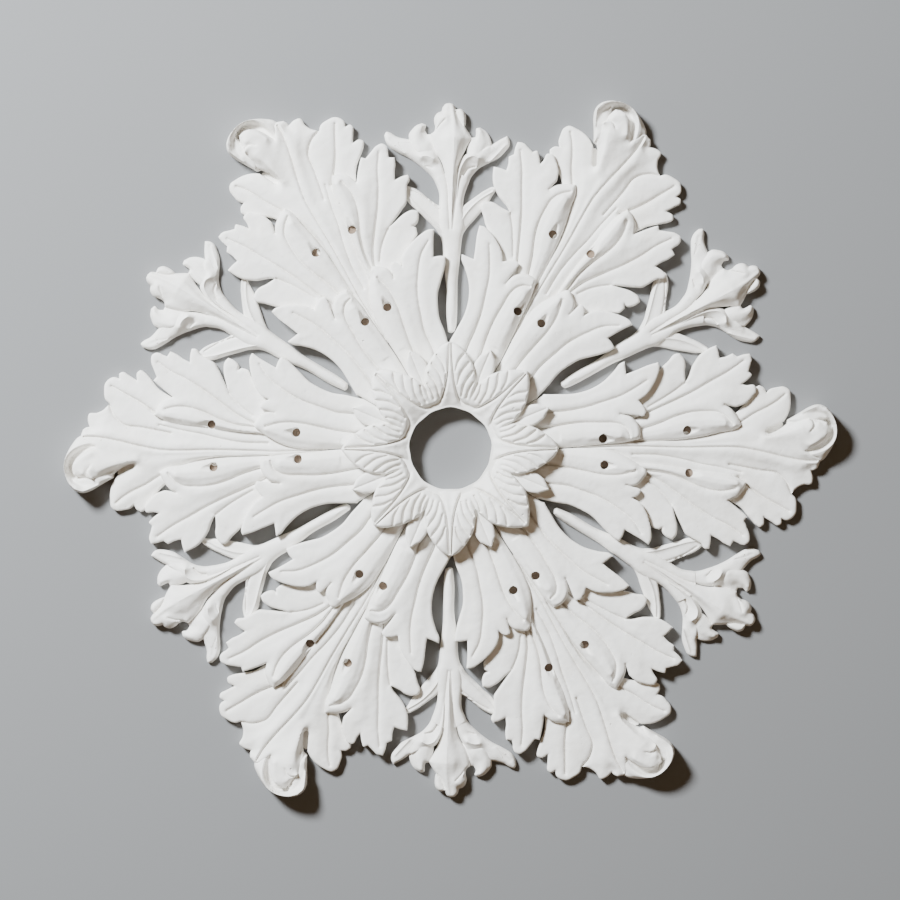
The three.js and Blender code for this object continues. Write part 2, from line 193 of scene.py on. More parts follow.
def within(places, loop):
    """Whether each place is inside a closed loop: a line going right from it crosses the
    loop an odd number of times."""
    a = loop
    b = np.roll(loop, -1, axis=0)
    x, y = places[:, :1], places[:, 1:]
    spans = (a[:, 1] > y) != (b[:, 1] > y)
    rise = np.where(b[:, 1] == a[:, 1], 1e-12, b[:, 1] - a[:, 1])
    crossing = a[:, 0] + (y - a[:, 1]) * (b[:, 0] - a[:, 0]) / rise
    return (spans & (x < crossing)).sum(1) % 2 == 1


print("a run of three points has", len(flowing([(0, 0), (30, 10), (60, 0)])), "steps")

# %% [markdown]
# ## Relief from lines
# Between its lines, cast plaster swells like a cushion: steep where it leaves a groove or an
# edge, and nearly flat midway. So each line carries what the carver knows of it, which is
# its height at both ends, how far the surface rises away from it, and how quickly. The
# height of any place is the average of what all the lines say about it, weighed by how near
# they are. It is one formula for a whole net of points, and it keeps the grooves crisp.

# %% Carving
NEAR_POWER = 3
NEAR_FLOOR = 0.05
CRISP_SHARE = 0.66
CRISP_REACH = 0.42


def line(points, height, rise=(0, 0), reach=2.5):
    """A drawn line, its height at root and tip, how far the surface swells away from it at
    root and tip, and the distance over which two thirds of that swelling comes."""
    return {"points": points, "height": height, "rise": rise, "reach": reach}


def carved(places, lines):
    """The height of every place: each line says its own height plus its rise times
    1 - exp(-distance / reach), and what it says counts as 1 / distance cubed. Part of the
    rise comes over a much shorter reach, so that the line itself stays crisp."""
    total = np.zeros(len(places))
    weights = np.zeros(len(places))
    for drawn in lines:
        gap, share = nearness(places, drawn["points"])
        root, tip = drawn["height"]
        low, high = drawn["rise"]
        crisp = np.exp(-gap / (CRISP_REACH * drawn["reach"]))
        broad = np.exp(-gap / drawn["reach"])
        grown = 1 - CRISP_SHARE * crisp - (1 - CRISP_SHARE) * broad
        swell = (low + share * (high - low)) * grown
        weight = 1 / (gap + NEAR_FLOOR) ** NEAR_POWER
        total += weight * (root + share * (tip - root) + swell)
        weights += weight
    return total / weights


groove = line(np.array([[0, 0], [60, 0]]), (10, 10), (4, 4))
print("beside a groove 10 mm high plaster rises to", carved(np.array([[30, 9]]), [groove]).round(1))

# %% [markdown]
# ### Eyes
# Where two pipes of a leaf spring apart there is an eye, a round pit with a ramp beside it.
# Both are cut into the heights that the lines give, since no line runs round them.

# %% Eyes
WALL_RUN = 0.9
WALL_START = 0.35
FLOOR_TILT = 0.35
RAMP_NARROWS = 0.6
RAMP_STEEP = 1.6
RAMP_DEPTH = 0.8


def pitted(places, heights, pits):
    """Heights with the eyes cut in. An eye is a round pit with a steep wall, and a ramp
    that runs up from its floor towards the tip and narrows, like a tear drop. Its depth is
    the larger of the pit's and the ramp's."""
    for (x, y), angle, radius, tail, depth in pits:
        turn = math.radians(angle)
        away = places - np.array([x, y])
        along = away[:, 0] * math.cos(turn) + away[:, 1] * math.sin(turn)
        across = away[:, 1] * math.cos(turn) - away[:, 0] * math.sin(turn)
        hole = np.clip((radius - np.hypot(along, across)) / WALL_RUN + WALL_START, 0, 1)
        hole = hole * (1 - FLOOR_TILT * np.clip(along / radius, 0, 1))
        width = radius * (1 - RAMP_NARROWS * np.clip(along / tail, 0, 1))
        side = np.clip(RAMP_STEEP * (1 - np.abs(across) / width), 0, 1)
        ramp = np.clip(1 - along / tail, 0, 1) * side * (along > 0)
        heights = heights - depth * np.maximum(hole, RAMP_DEPTH * ramp)
    return heights


def near_pits(places, pits, more):
    """Whether each place is within a pit's ramp, or a little more than that, of its middle."""
    near = np.zeros(len(places), bool)
    for (x, y), _, _, tail, _ in pits:
        near |= np.hypot(places[:, 0] - x, places[:, 1] - y) < tail + more
    return near


ramp_places = np.array([[0.0, 0.0], [6.0, 0.0], [12.0, 0.0]])
print("depth along an eye's ramp", -pitted(ramp_places, np.zeros(3), [((0, 0), 0, 4.7, 13, 10)]).round(1))


# %% [markdown]
# ## Plates
# Each tier of a casting is a plate: a net of triangles over its outline, lifted to the
# carved height, with upright walls and a flat back. A square grid would cut the outline and
# the veins into steps, so the net is drawn between points that lie on them, fine beside the
# lines and coarse in between.

# %% Plates
FINE = 1.15
COARSE = 2.6
FINE_BELT = 3.4
COARSE_GAP = 0.6
VEIN_TO_EDGE = 0.8
NET_TO_LINE = 0.75
PIT_BELT = 3.0
SAME_POINT = 0.05
MERGED = 1e-6
SLIVER = 1e-9
THINNEST = 0.8


def lattice(low, high, step):
    """Points of a triangular lattice over a rectangle, in rows that step by the height of
    an equal-sided triangle."""
    x = np.arange(low[0], high[0] + step, step)
    y = np.arange(low[1], high[1] + step, step * math.sqrt(3) / 2)
    grid_x, grid_y = np.meshgrid(x, y)
    grid_x = grid_x + step / 2 * (np.arange(len(y)) % 2)[:, None]
    return np.stack([grid_x.ravel(), grid_y.ravel()], 1)


def triangles_inside(points, loop_edges, loop):
    """The net of triangles between points that keeps the loop's edges, less what lies
    outside the loop. Gives points and triangles, all turned the same way."""
    net = delaunay_2d_cdt([Vector(point) for point in points], loop_edges, [], 0, MERGED)
    places = np.array([tuple(point) for point in net[0]])
    faces = np.array(net[2])
    a, b, c = places[faces[:, 0]], places[faces[:, 1]], places[faces[:, 2]]
    area = (b[:, 0] - a[:, 0]) * (c[:, 1] - a[:, 1]) - (b[:, 1] - a[:, 1]) * (c[:, 0] - a[:, 0])
    faces[area < 0] = faces[area < 0][:, ::-1]
    return places, faces[within((a + b + c) / 3, loop) & (np.abs(area) > SLIVER)]


def rim_edges(faces):
    """The directed edges that only one triangle has."""
    edges = np.concatenate([faces[:, [0, 1]], faces[:, [1, 2]], faces[:, [2, 0]]])
    size = faces.max() + 1
    key = edges[:, 0] * size + edges[:, 1]
    back = edges[:, 1] * size + edges[:, 0]
    return edges[~np.isin(key, back)]


def closed_loop(points):
    """A loop without doubled points."""
    return points[np.linalg.norm(points - np.roll(points, 1, axis=0), axis=1) > SAME_POINT]


def plate(outline, lines, back=0.0, pits=(), relief=None, lid=None):
    """A closed shell over an outline: the carved top, upright walls down to the back and a
    flat back. The top's height comes from the lines and pits, or from a relief of its own,
    and no point stands above the lid. Gives points in millimetres and triangles that face
    outwards."""
    loop = closed_loop(outline)
    low, high = loop.min(0), loop.max(0)
    on_veins = np.concatenate([drawn["points"] for drawn in lines])
    on_veins = on_veins[within(on_veins, loop)]
    on_veins = on_veins[clearance(on_veins, loop) > VEIN_TO_EDGE]
    drawn_points = np.concatenate([loop, on_veins])
    fine = lattice(low, high, FINE)
    away = clearance(fine, drawn_points)
    fine = fine[(away > NET_TO_LINE) & ((away < FINE_BELT) | near_pits(fine, pits, PIT_BELT))]
    fine = fine[within(fine, loop)]
    coarse = lattice(low, high, COARSE)
    away = clearance(coarse, drawn_points)
    coarse = coarse[(away > FINE_BELT + COARSE_GAP) & ~near_pits(coarse, pits, PIT_BELT + COARSE_GAP)]
    coarse = coarse[within(coarse, loop)]
    count = len(loop)
    loop_edges = [(i, (i + 1) % count) for i in range(count)]
    places, top = triangles_inside(np.concatenate([loop, on_veins, fine, coarse]), loop_edges, loop)
    heights = relief(places) if relief else pitted(places, carved(places, lines), pits)
    if lid:
        heights = np.minimum(heights, lid(places))
    heights = np.maximum(heights, back + THINNEST)

    border = rim_edges(top)
    rim = np.unique(border)
    slot_of = np.full(len(places), -1)
    slot_of[rim] = np.arange(len(rim))
    rim_border = slot_of[border]
    rim_pairs = [(int(i), int(j)) for i, j in rim_border]
    flat_places, flat = triangles_inside(places[rim], rim_pairs, loop)
    start = len(places)
    low_border = rim_border + start
    walls = np.concatenate([
        np.stack([border[:, 1], border[:, 0], low_border[:, 0]], 1),
        np.stack([border[:, 1], low_border[:, 0], low_border[:, 1]], 1)])
    points = np.concatenate([
        np.column_stack([places, heights]),
        np.column_stack([flat_places, np.full(len(flat_places), back)])])
    return points, np.concatenate([top, walls, flat[:, ::-1] + start])


def mesh_of(name, points, faces):
    """A mesh from whole arrays, in metres."""
    mesh = bpy.data.meshes.new(name)
    mesh.vertices.add(len(points))
    mesh.vertices.foreach_set("co", (points * MM).ravel())
    mesh.loops.add(faces.size)
    mesh.loops.foreach_set("vertex_index", faces.ravel())
    mesh.polygons.add(len(faces))
    mesh.polygons.foreach_set("loop_start", np.arange(len(faces)) * 3)
    mesh.update(calc_edges=True)
    mesh.validate()
    return mesh


def united(name, shells, cut=()):
    """One closed casting from several shells that run into each other, less those that are
    cut out of it."""
    objects = []
    for number, (points, faces) in enumerate([*shells, *cut]):
        objects.append(placed(f"{name}_{number}", mesh_of(name, points, faces)))
    whole = objects[0]
    for number, other in enumerate(objects[1:], 1):
        union = whole.modifiers.new("union", "BOOLEAN")
        union.operation = "UNION" if number < len(shells) else "DIFFERENCE"
        union.solver = "MANIFOLD"
        union.object = other
    evaluated = whole.evaluated_get(bpy.context.evaluated_depsgraph_get())
    mesh = bpy.data.meshes.new_from_object(evaluated)
    for shell in objects:
        bpy.data.objects.remove(shell)
    points = np.empty(len(mesh.vertices) * 3)
    mesh.vertices.foreach_get("co", points)
    mesh.calc_loop_triangles()
    faces = np.empty(len(mesh.loop_triangles) * 3, int)
    mesh.loop_triangles.foreach_get("vertices", faces)
    bpy.data.meshes.remove(mesh)
    seconds = round(time.time() - began, 1)
    print(name, "plates", len(shells), "triangles", len(faces) // 3, "at", seconds, "s")
    return points.reshape(-1, 3) / MM, faces.reshape(-1, 3)


def spun(points, turn):
    """Points turned about the middle of the rose."""
    cos, sin = math.cos(turn), math.sin(turn)
    return points @ np.array([[cos, sin], [-sin, cos]])


def circle(radius, count):
    """Points round a circle."""
    angle = np.arange(count) * 2 * math.pi / count
    return np.stack([np.cos(angle), np.sin(angle)], 1) * radius


coin = plate(circle(10, 48), [line(flowing([(-6, 0), (0, 0), (6, 0)]), (4, 4), (2, 2))])
print("a carved coin has", len(coin[1]), "triangles and is", coin[0][:, 2].max().round(1), "mm thick")


# %% [markdown]
# ## The acanthus leaf
# The leaf is drawn in millimetres with its root at the left. It has three tiers. The upper
# one springs from under the ring and ends in two lobes and two pipes with rounded lips. The
# middle tier comes out beneath it and does the same, and the lower tier is the palm of the
# leaf, which swells into the ball inside the curled tip. Each side of a tier is one plate.

# %% Where the leaf is drawn
LEAF_CENTRE = np.array([4.3, 4.1])
ROOT_RADIUS = 85.0
HALF_LEAF = math.radians(30)
ROOT_SHARE = 0.994
EDGE_SHARE = 0.996
ROOT_POINTS = 14
EDGE_POINTS = 18
EYE_RADIUS = 4.7


def leaf(*runs):
    """A line of the leaf, moved from the drawing to the middle of the rose."""
    return flowing(*runs) - LEAF_CENTRE


def eye(x, y, angle, tail, depth):
    """The pit of an eye: its middle, the way its ramp runs, its radius, the ramp's length
    and its depth."""
    return np.array([x, y]) - LEAF_CENTRE, angle, EYE_RADIUS, tail, depth


def root_arc(side):
    """The round root of one half of the leaf, from its midline to the joint."""
    angle = np.linspace(0, HALF_LEAF * ROOT_SHARE, ROOT_POINTS) * side
    return np.stack([np.cos(angle), np.sin(angle)], 1) * ROOT_RADIUS


def joined(*parts):
    """Several lines end to end."""
    return np.concatenate(parts)


def along_joint(side, far):
    """The straight edge beside the next leaf, a hair short of the ray between them."""
    angle = side * HALF_LEAF * EDGE_SHARE
    radii = np.linspace(ROOT_RADIUS, far, EDGE_POINTS)
    return np.stack([np.cos(angle) * radii, np.sin(angle) * radii], 1)


print("the root arc ends at", root_arc(1)[-1].round(1))


# %% Upper tier
UNDER_PETALS = 19.3
PETAL_SHADE = 121.0
FREE_SLOPE = 1.2


def under_the_ring(places):
    """How high the leaf may stand: no higher than the ring's petals lie over it, and one
    slope times the distance higher outside them."""
    beyond = np.maximum(np.linalg.norm(places, axis=1) - PETAL_SHADE, 0)
    return UNDER_PETALS + FREE_SLOPE * beyond


upper_left_joint = along_joint(1, 118.9)
upper_left_margin = leaf([(107, 64), (120, 64), (142, 65), (160, 70.5), (172, 77.5), (185, 90),
                          (192.5, 98.7), (195.7, 100)], [(197.5, 86)],
                         [(210, 91), (222, 96), (232.5, 99)])
upper_left_end = leaf([(232.5, 99), (234, 95), (232.5, 86), (227.5, 75), (220, 64), (211, 57)],
                      [(216, 51), (219, 45), (217, 40), (212.5, 40)], [(200, 41.8), (191, 42.5)])
upper_left_lip = leaf([(191, 42.5), (204, 38.5), (210, 32.5), (213, 25), (212.5, 15)])
upper_left_low = leaf([(212.5, 15), (205, 13), (195, 11), (180, 9.6), (165, 8.4), (147, 6.6), (120, 4.6),
                       (90, 4.2)])
upper_left_vein = leaf([(84, 38), (110, 43.5), (130, 45.5), (150, 49), (170, 55), (192, 62.5),
                        (210, 72.5), (220, 79)])
upper_left_pipe = leaf([(84, 22), (114, 27.5), (132, 31), (150, 33), (170, 33), (185, 32.5), (192, 30.5),
                        (199, 25), (202, 17)])
upper_left_crest = leaf([(90, 13), (130, 17), (160, 19.5), (190, 20)])
upper_left_bead = leaf([(196, 37), (203, 33), (207, 27), (207.5, 18)])

LEFT_ROOT, RIGHT_ROOT = root_arc(1), root_arc(-1)
upper_left = plate(
    joined(upper_left_joint[:-1], upper_left_margin, upper_left_end, upper_left_lip, upper_left_low,
           LEFT_ROOT),
    [line(upper_left_joint, (14, 15), (2.5, 2.5), 2),
     line(upper_left_margin, (15, 20), (2.5, 1.6), 1.8),
     line(upper_left_end, (20, 19.5), (1.6, 1.6), 1.6),
     line(upper_left_lip, (19, 18.5), (4.6, 4.6), 3),
     line(upper_left_low, (17, 13.5), (4.6, 3.6), 3.4),
     line(upper_left_vein, (11.2, 19.4), (6.4, 2.8), 3.2),
     line(upper_left_pipe, (11.4, 21), (6, 3.6), 2.8),
     line(upper_left_crest, (18, 26)),
     line(upper_left_bead, (23, 23))],
    pits=[eye(172.5, 15, 0, 13, 10)], lid=under_the_ring)

upper_right_joint = along_joint(-1, 112.4)
upper_right_margin = leaf([(102.5, -51), (120, -55), (135, -57.5), (150, -64), (160, -70), (170, -80),
                           (180, -90), (186, -95), (190, -97)], [(193.5, -92), (196, -85)],
                          [(205, -90), (215, -96), (222, -101)])
upper_right_end = leaf([(222, -101), (224.3, -97), (224.5, -85), (222.5, -75), (219, -65), (212.5, -55),
                        (204, -50)], [(209, -48), (213, -44), (213, -41), (210, -39)],
                       [(204, -37.5), (197.5, -35.5)])
upper_right_lip = leaf([(197.5, -35.5), (204, -36.5), (211, -34.5), (216, -29), (220, -22.5), (219, -19),
                        (215, -16)])
upper_right_low = leaf([(215, -16), (205, -9), (190, -1), (180, 2.4), (165, 4.4), (147, 5), (120, 3.8),
                        (90, 4)])
upper_right_vein = leaf([(84, -26), (110, -34), (130, -36), (150, -42.5), (170, -50), (190, -62.5),
                         (205, -75), (214, -89)])
upper_right_pipe = leaf([(84, -10), (107, -13), (130, -16), (150, -20), (170, -24), (190, -24.5),
                         (207, -20.5)])
upper_right_crest = leaf([(90, -2), (130, -4.5), (160, -9), (185, -13), (205, -18)])
upper_right = plate(
    joined(upper_right_joint[:-1], upper_right_margin, upper_right_end, upper_right_lip, upper_right_low,
           RIGHT_ROOT),
    [line(upper_right_joint, (14, 15), (2.5, 2.5), 2),
     line(upper_right_margin, (15, 20), (2.5, 1.6), 1.8),
     line(upper_right_end, (20, 19.5), (1.6, 1.6), 1.6),
     line(upper_right_lip, (19, 18.5), (4.2, 4.2), 3),
     line(upper_right_low, (16.5, 13.5), (4.6, 3.6), 3.4),
     line(upper_right_vein, (11.2, 19.4), (6.4, 2.8), 3.2),
     line(upper_right_pipe, (11.4, 20.5), (6, 3.4), 2.8),
     line(upper_right_crest, (18, 25))],
    pits=[eye(174, -14, -4, 13, 10)], lid=under_the_ring)
print("upper tier", len(upper_left[1]), len(upper_right[1]))

# %% Middle tier
middle_left_hidden = leaf([(185, 13), (188, 30), (196, 48), (214, 62), (230, 84), (238.7, 95)])
middle_left_margin = leaf([(238.7, 95), (245, 101), (252.5, 108.7), (256.7, 109)],
                          [(261, 104), (263, 97.5), (262.5, 90), (263, 77.5)],
                          [(265, 80), (272.5, 97.5), (281, 109), (290, 115), (297, 118)],
                          [(299.5, 110), (300.5, 104)], [(307.5, 105.5), (315, 109)], [(320, 105.5)],
                          [(327.5, 108), (333.7, 108.7)])
middle_left_end = leaf([(333.7, 108.7), (335.7, 103.7), (333.7, 93.7), (332.5, 89)],
                       [(336, 85.5), (332.5, 81), (325, 75)],
                       [(330, 74), (338.7, 74), (341, 69), (336, 61), (329, 54), (319, 50)],
                       [(306, 52.5)])
middle_left_lip = leaf([(306, 52.5), (312.5, 49), (320, 40), (325, 30)])
middle_left_low = leaf([(325, 30), (320, 26.5), (300, 22), (280, 17.5), (260, 14.5), (235, 13), (210, 12),
                        (185, 11)])
middle_left_vein = leaf([(206, 36), (220, 43), (235, 50), (255, 59), (272, 67.5), (292, 79), (310, 89),
                         (327, 101)])
middle_left_fold = leaf([(222, 50), (236, 58), (250, 67), (262.5, 76.5)])
middle_left_pipe = leaf([(200, 22), (220, 27.5), (235, 32.5), (250, 39), (267, 44), (285, 45.5),
                         (300, 44), (309, 38), (315, 31)])
middle_left_crest = leaf([(205, 18), (235, 23), (262, 29), (290, 33), (305, 33)])
middle_left = plate(
    joined(middle_left_hidden[:-1], middle_left_margin, middle_left_end, middle_left_lip,
           middle_left_low),
    [line(middle_left_hidden, (10, 11), (2, 2)),
     line(middle_left_margin, (11.5, 13.5), (2.2, 1.6), 1.8),
     line(middle_left_end, (13.5, 14), (1.6, 2), 1.6),
     line(middle_left_lip, (14, 13), (4.6, 4.6), 3),
     line(middle_left_low, (13, 10), (4.6, 4), 3.2),
     line(middle_left_vein, (8, 12.6), (6.2, 3), 3.2),
     line(middle_left_fold, (10.5, 10), (2.8, 3), 2.2),
     line(middle_left_pipe, (8.2, 16.5), (6, 3), 2.8),
     line(middle_left_crest, (15, 22))],
    pits=[eye(265, 24, 8, 14, 9)])

middle_right_hidden = leaf([(224, -76), (214, -62), (202, -44), (192, -26), (188, -9)])
middle_right_margin = leaf([(324, -101), (322.5, -100), (316, -97.5)], [(312.5, -103)],
                           [(306, -100), (299, -95), (291, -91)], [(290.5, -100), (289, -106)],
                           [(285, -106), (280, -100), (270, -94), (264, -90), (260, -82.5), (254, -70),
                            (249, -59)], [(251, -67.5), (254, -82.5), (253, -91), (249, -96)],
                           [(244, -94), (237.5, -86), (238, -82.5)], [(234, -85)],
                           [(227.5, -82.5), (224, -76)])
middle_right_top = leaf([(188, -9), (213, -12), (240, -14), (260, -17), (280, -19.5), (300, -22),
                         (325, -30), (330, -33)])
middle_right_lip = leaf([(330, -33), (327.5, -40), (320, -49), (310, -53)])
middle_right_end = leaf([(310, -53), (320, -61), (327.5, -67.5), (331, -71)], [(327.5, -75)],
                        [(331, -84), (333.5, -91), (332.5, -99), (328, -101.5), (324, -101)])
middle_right_vein = leaf([(206, -18), (220, -24), (235, -31), (255, -45), (275, -60), (295, -72.5),
                          (310, -80), (326, -91)])
middle_right_fold = leaf([(222, -32), (234, -41), (244, -52), (249.3, -59.5)])
middle_right_pipe = leaf([(200, -15), (220, -20), (240, -22.5), (260, -29), (275, -36), (290, -41),
                          (307, -42), (318, -39.5)])
middle_right_crest = leaf([(205, -13), (240, -18), (270, -25), (295, -30.5), (318, -33.5)])
middle_right = plate(
    joined(middle_right_top[:-1], middle_right_lip[:-1], middle_right_end[:-1], middle_right_margin[:-1],
           middle_right_hidden),
    [line(middle_right_hidden, (11, 10), (2, 2)),
     line(middle_right_margin, (13.5, 11.5), (1.6, 2.2), 1.8),
     line(middle_right_end, (14, 13.5), (2, 1.6), 1.6),
     line(middle_right_lip, (13, 14), (4.4, 4.4), 3),
     line(middle_right_top, (10, 12.5), (4, 4.4), 3.2),
     line(middle_right_vein, (8, 12.6), (6.2, 3), 3.2),
     line(middle_right_fold, (10.5, 10), (2.8, 3), 2.2),
     line(middle_right_pipe, (8.2, 16.5), (6, 3), 2.8),
     line(middle_right_crest, (15.5, 22))],
    pits=[eye(267.5, -22.5, -8, 14, 9)])
print("middle tier", len(middle_left[1]), len(middle_right[1]))

# %% Lower tier
palm_left = leaf([(140, 7), (175, 11), (212, 15), (260, 20), (300, 32), (322, 46), (333, 60), (340, 71),
                  (345, 74)])
lobe_left = leaf([(345, 74), (350, 71.5), (353, 66)],
                 [(357.5, 70), (365, 72), (372.5, 72.5), (378, 69), (379.5, 60), (379, 50), (376, 41),
                  (372, 34.5)])
slit = leaf([(372, 34.5), (365, 31), (358, 27.6), (353.6, 25.4), (352.4, 23), (354.8, 20.9), (361, 22.4),
             (368, 26), (374, 30.4)])
palm_side = leaf([(374, 30.4), (380, 35.5), (386, 38.5), (393, 38.8), (396.5, 38)],
                 [(405, 36.5), (413, 35), (417.5, 33)], [(419, 27), (418, 20.5)])
palm_under = leaf([(418, 20.5), (414.5, 14.5), (409, 9.5), (402, 5.5), (395, 1.5)])
palm_tip = leaf([(395, 1.5), (404, -2), (411, -8), (409, -17)], [(405, -19.5), (402, -20)])
lobe_right = leaf([(402, -20), (404, -27.5), (402.5, -34.5), (394, -35.5), (388, -38), (380, -45.5)],
                  [(384.5, -50), (386, -60), (385, -67.5), (381, -72.5), (375, -75), (369.5, -73)],
                  [(369, -79), (365, -80.5), (360, -77.5), (350, -71)],
                  [(349.5, -80), (346, -82.5), (341, -79.5), (336, -74), (325, -61), (312, -53)])
palm_right = leaf([(312, -53), (300, -40), (280, -30), (250, -22), (212, -14), (180, -2), (140, 3)])
lobe_left_vein = leaf([(205, 12.5), (235, 14), (260, 14), (300, 22), (325, 34), (340, 43.5), (355, 51),
                       (366, 58), (373, 64)])
midrib = leaf([(145, 5), (172, 6.5), (200, 7), (235, 6), (272, 5.5), (297, 6), (322, 5.5), (347, 1),
               (372, -5), (397, -9), (408, -9)])
right_rib = leaf([(205, -2), (235, -3), (260, -7.5), (280, -12.5), (300, -16), (325, -22)])
right_ridge = leaf([(312, -13), (345, -19.5), (365, -23), (376, -34), (380, -44)])
lobe_right_vein = leaf([(322, -28), (331, -36), (347, -47.5), (362, -56), (378, -65)])
palm_crest = leaf([(150, 6), (212, 9), (250, 10), (300, 12.5), (340, 15)])
ball_crest = leaf([(352, 16), (366, 19), (380, 22), (391, 25)])
ball_step = leaf([(397, 37.6), (400.5, 33.5), (400.8, 29), (396.5, 24)])
ball_foot = leaf([(399.4, 37.6), (403, 33.5), (403, 28), (399.5, 23)])
ball_round = leaf([(408, 30), (411, 23), (407, 15), (400, 10)])
lower = plate(
    joined(palm_left[:-1], lobe_left, slit, palm_side, palm_under, palm_tip, lobe_right, palm_right),
    [line(palm_left, (9, 7.5), (2, 2), 2),
     line(lobe_left, (7.5, 8), (1.8, 2), 1.8),
     line(slit, (8, 10), (2.4, 3), 2),
     line(palm_side, (12, 25), (4, 2), 2.6),
     line(palm_under, (25, 17), (2, 3), 2.6),
     line(palm_tip, (17, 9), (3, 2.4), 2.2),
     line(lobe_right, (8.5, 7.5), (2.2, 1.8), 1.8),
     line(palm_right, (7.5, 9), (2, 2)),
     line(lobe_left_vein, (6.8, 7.8), (6, 3.2), 3),
     line(midrib, (11, 13), (3.6, 4), 2.6),
     line(right_rib, (9.8, 9.5), (3.8, 2.6), 2.6),
     line(right_ridge, (8.6, 6.4), (3.8, 4.2), 2.6),
     line(lobe_right_vein, (5, 7.6), (5.6, 3.2), 3),
     line(palm_crest, (14, 14.5)),
     line(ball_crest, (17.5, 27)),
     line(ball_step, (28, 27)),
     line(ball_foot, (24, 25), (1, 1), 2),
     line(ball_round, (27, 26))])
print("lower tier", len(lower[1]))

# %% Curled tip
rim_outer = leaf([(376, 36), (385, 41), (392.5, 45.5), (400, 50), (409, 53), (417.5, 50.5), (424, 44),
                  (428, 35), (430, 25), (429.5, 17.5), (426, 7.5), (420, -2.5), (416, -7.5), (408, -12)])
rim_hidden = leaf([(408, -12), (396, -8.4), (386, -4), (379, 5), (374, 20), (376, 36)])
rim_rise = leaf([(391, 43.5), (399, 47.5), (408, 50.5), (415.5, 48)])
rim_crest = leaf([(415.5, 48), (421.5, 42), (425.8, 34), (427.8, 25), (427, 16.5), (423, 8.6), (416.5, 3),
                  (408, -0.6), (398, -2.4), (390, -3)])
crescent_far = leaf([(417.5, 35), (423.6, 29), (424.8, 23), (422, 16), (416.5, 10.5), (409, 6.4),
                     (398, 2.6)])
cup_floor = leaf([(396, 41.5), (404, 42), (411.5, 41.5), (416.5, 38.5)])
curl = plate(
    joined(rim_outer[:-1], rim_hidden),
    [line(rim_outer, (13, 8), (8, 8), 2.4),
     line(rim_rise, (22, 31), (-1, -1), 3),
     line(rim_crest, (31, 16), (-1, -1), 3),
     line(crescent_far, (6, 15)),
     line(cup_floor, (22, 21)),
     line(rim_hidden, (9, 10))])
print("curled tip", len(curl[1]), "triangles, up to", curl[0][:, 2].max().round(1), "mm high")

# %% [markdown]
# ### Drilled eyes
# An eye goes down through all tiers, so it is drilled out of the whole leaf once they are
# united. The drill stops short of the back. The deep notch beside the curled tip has a thin
# floor of its own, as in the photograph, where plaster shows in it and not the ground.

# %% Eyes and the whole leaf
DRILL_RADIUS = 4.8
DRILL_FLOOR = 9.0
DRILL_SIDES = 16
ABOVE_ALL = 60


def drill(x, y):
    """What a drill takes away at a place on the leaf: a round bar that stops short of the back."""
    middle = np.array([x, y]) - LEAF_CENTRE
    top = [line(np.array([middle, middle + 1]), (ABOVE_ALL, ABOVE_ALL))]
    return plate(circle(DRILL_RADIUS, DRILL_SIDES) + middle, top, back=DRILL_FLOOR)


slit_floor = plate(
    leaf([(348, 20), (348, 28), (360, 34)], [(369, 35), (372, 31)], [(368, 22), (356, 18), (348, 20)]),
    [line(slit, (3, 2))])
eyes = [drill(172, 15.6), drill(265, 24.4), drill(173.6, -13.6), drill(267, -22.6)]
tiers = [lower, slit_floor, curl, middle_left, middle_right, upper_left, upper_right]
leaf_points, leaf_faces = united("acanthus_leaf", tiers, cut=eyes)

# %% [markdown]
# ## The lily sprig
# A sprig is a round stem with two narrow leaves, a ridged bud between two rolled petals, and
# two smaller petals behind them. It is drawn in the same way, along its own stem.

# %% Sprig
SPRIG_CENTRE = np.array([3.7, -3.7])


def sprig(*runs):
    """A line of the sprig, moved from the drawing to the middle of the rose."""
    return flowing(*runs) - SPRIG_CENTRE


stem_cut = sprig([(133.5, -9), (131.5, -4), (133, -1)])
stem_left = sprig([(133, -1), (150, 0.7), (183, 0.7), (197, 2.5), (213, 4.3), (231, 5.2), (243, 8.5),
                   (256, 10), (272, 8.8), (286, 8.8), (300, 14)])
stem_end = sprig([(300, 14), (310, -6), (300, -25)])
stem_right = sprig([(300, -25), (283, -19), (272, -17.7), (258, -19.5), (245, -19), (238, -17),
                    (225.7, -15.4), (211, -14), (193.6, -12), (168.6, -11.4), (147, -10.9), (138, -10),
                    (133.5, -9)])
stem = plate(
    joined(stem_cut[:-1], stem_left[:-1], stem_end[:-1], stem_right[:-1]),
    [line(stem_cut, (4, 4), (6, 6), 1.5),
     line(stem_left, (3, 5), (9.5, 7), 3.6),
     line(stem_right, (5, 3), (7, 9.5), 3.6),
     line(sprig([(246, -3), (270, -1.5), (300, 1), (312, 5)]), (10, 8), (2, 3), 2.5),
     line(sprig([(246, -6), (270, -9), (300, -12), (312, -15)]), (10, 8), (2, 3), 2.5)])

small_left_out = sprig([(226, 0), (240, 8.5), (247, 13), (256, 22), (267, 33), (276, 42.7), (284.6, 47.2),
                        (291, 48.6)])
small_left_in = sprig([(291, 48.6), (293.2, 46), (292, 38), (287, 29), (281, 22), (274, 12.5), (271, 7),
                       (262, 0), (226, 0)])
small_left = plate(
    joined(small_left_out[:-1], small_left_in[:-1]),
    [line(small_left_out, (4, 4), (5, 3), 2.4),
     line(small_left_in, (4, 4), (3, 4), 1.8),
     line(sprig([(240, 3), (254, 15), (266, 27), (277, 38), (286, 45)]), (11, 8), (-2, -2), 3),
     line(sprig([(264, 5), (274, 16), (282, 27), (288.5, 39)]), (5, 5), (3.5, 2), 1.8)])
small_right_out = sprig([(226, -9), (238, -16), (247, -21.6), (256, -29.6), (266.8, -38.6),
                         (275.7, -45.7), (284.6, -51), (290.5, -55.5)])
